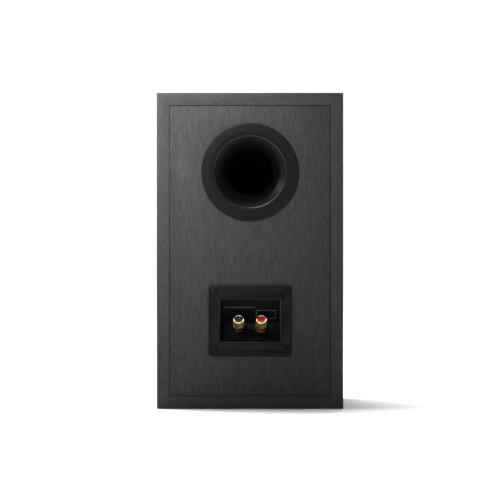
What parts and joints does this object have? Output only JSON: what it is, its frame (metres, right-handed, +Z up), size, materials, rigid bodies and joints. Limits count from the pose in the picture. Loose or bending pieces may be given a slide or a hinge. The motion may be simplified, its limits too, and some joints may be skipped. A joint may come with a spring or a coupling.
{
  "type": "bookshelf speaker",
  "caption": "Compact ported loudspeaker box with a rear port, a recessed terminal cup with screw-down binding posts, a cone woofer and a dome tweeter.",
  "frame": {"origin": "centre of the underside of the cabinet", "axes": "+Z up, -Y out of the drivers' side, +Y out of the port and terminal side, +X to the right seen from the drivers' side"},
  "size_m": [0.18, 0.2459, 0.305],
  "materials": {
    "black_ash": "satin black wood-grain wrap",
    "bare_board": "bare fibreboard",
    "foam": "open-cell foam",
    "black_plastic": "moulded, fine texture",
    "red_plastic": "moulded, glossy",
    "black_gloss_plastic": "moulded, glossy",
    "gold_plate": "gold-plated brass",
    "black_screw": "black oxide",
    "plated_steel": "zinc-plated steel",
    "ferrite": "sintered ferrite",
    "basket_paint": "satin black paint",
    "cone_pulp": "pressed paper pulp",
    "surround_rubber": "butyl rubber",
    "dust_cap_sheet": "formed sheet",
    "silk": "coated silk",
    "spider_cloth": "resin-treated cotton",
    "copper": "enamelled copper wire",
    "circuit_board": "glass-fibre board",
    "film_sleeve": "wrapped film",
    "lead_sleeve": "soft insulated lead"
  },
  "bodies": {
    "cabinet": {"cabinet_left_side": "black_ash", "cabinet_right_side": "black_ash", "cabinet_top": "black_ash", "cabinet_bottom": "black_ash", "front_baffle": "black_ash", "rear_panel": "black_ash", "cabinet_brace": "bare_board", "damping_foam": "foam", "port_trim_ring": "black_plastic", "port_flare": "black_plastic", "port_tube": "black_plastic", "terminal_cup": "black_plastic", "terminal_gasket": "foam", "terminal_screw_1": "black_screw", "terminal_screw_2": "black_screw", "terminal_screw_3": "black_screw", "terminal_screw_4": "black_screw", "red_post_stud": "gold_plate", "red_post_collar": "red_plastic", "red_post_nut": "gold_plate", "black_post_stud": "gold_plate", "black_post_collar": "black_gloss_plastic", "black_post_nut": "gold_plate", "woofer_basket": "basket_paint", "woofer_surround": "surround_rubber", "woofer_spider": "spider_cloth", "woofer_top_plate": "plated_steel", "woofer_magnet": "ferrite", "woofer_yoke": "plated_steel", "woofer_screw_1": "black_screw", "woofer_screw_2": "black_screw", "woofer_screw_3": "black_screw", "woofer_screw_4": "black_screw", "tweeter_faceplate": "black_plastic", "tweeter_top_plate": "plated_steel", "tweeter_magnet": "ferrite", "tweeter_yoke": "plated_steel", "tweeter_screw_1": "black_screw", "tweeter_screw_2": "black_screw", "tweeter_screw_3": "black_screw", "tweeter_screw_4": "black_screw", "crossover_board": "circuit_board", "woofer_inductor": "copper", "tweeter_inductor": "copper", "woofer_capacitor": "film_sleeve", "tweeter_capacitor": "film_sleeve", "input_lead": "lead_sleeve", "woofer_lead": "lead_sleeve", "tweeter_lead": "lead_sleeve"},
    "woofer_cone_assembly": {"woofer_cone": "cone_pulp", "woofer_dust_cap": "dust_cap_sheet", "woofer_voice_coil": "copper"},
    "tweeter_dome_assembly": {"tweeter_dome": "silk", "tweeter_voice_coil": "copper"},
    "red_clamp": {"red_post_washer": "gold_plate"},
    "red_cap": {"red_post_cap": "gold_plate"},
    "red_plug": {"red_post_plug": "red_plastic"},
    "black_clamp": {"black_post_washer": "gold_plate"},
    "black_cap": {"black_post_cap": "gold_plate"},
    "black_plug": {"black_post_plug": "black_gloss_plastic"}
  },
  "joints": [
    {"name": "woofer_travel", "type": "slide", "parent": "cabinet", "child": "woofer_cone_assembly", "axis": [0, -1, 0], "range_m": [-0.004, 0.004], "stiffness_N_per_m": 1200, "deforming": ["woofer_surround", "woofer_spider"]},
    {"name": "tweeter_travel", "type": "slide", "parent": "cabinet", "child": "tweeter_dome_assembly", "axis": [0, -1, 0], "range_m": [-0.0003, 0.0003], "stiffness_N_per_m": 60},
    {"name": "red_cap_lift", "type": "slide", "parent": "cabinet", "child": "red_clamp", "axis": [0, 0.766, 0.6428], "range_m": [0, 0.0041]},
    {"name": "red_cap_turn", "type": "hinge", "parent": "red_clamp", "child": "red_cap", "pos_m": [-0.011, 0.10625, 0.07645], "axis": [0, 0.766, 0.6428], "range_deg": [0, 1800]},
    {"name": "red_plug_pull", "type": "slide", "parent": "red_cap", "child": "red_plug", "axis": [0, 0.766, 0.6428], "range_m": [0, 0.018]},
    {"name": "black_cap_lift", "type": "slide", "parent": "cabinet", "child": "black_clamp", "axis": [0, 0.766, 0.6428], "range_m": [0, 0.0041]},
    {"name": "black_cap_turn", "type": "hinge", "parent": "black_clamp", "child": "black_cap", "pos_m": [0.011, 0.10625, 0.07645], "axis": [0, 0.766, 0.6428], "range_deg": [0, 1800]},
    {"name": "black_plug_pull", "type": "slide", "parent": "black_cap", "child": "black_plug", "axis": [0, 0.766, 0.6428], "range_m": [0, 0.018]}
  ],
  "couplings": [
    {"joint": "red_cap_lift", "follows": "red_cap_turn", "m_per_rad": 0.00012732},
    {"joint": "black_cap_lift", "follows": "black_cap_turn", "m_per_rad": 0.00012732}
  ]
}
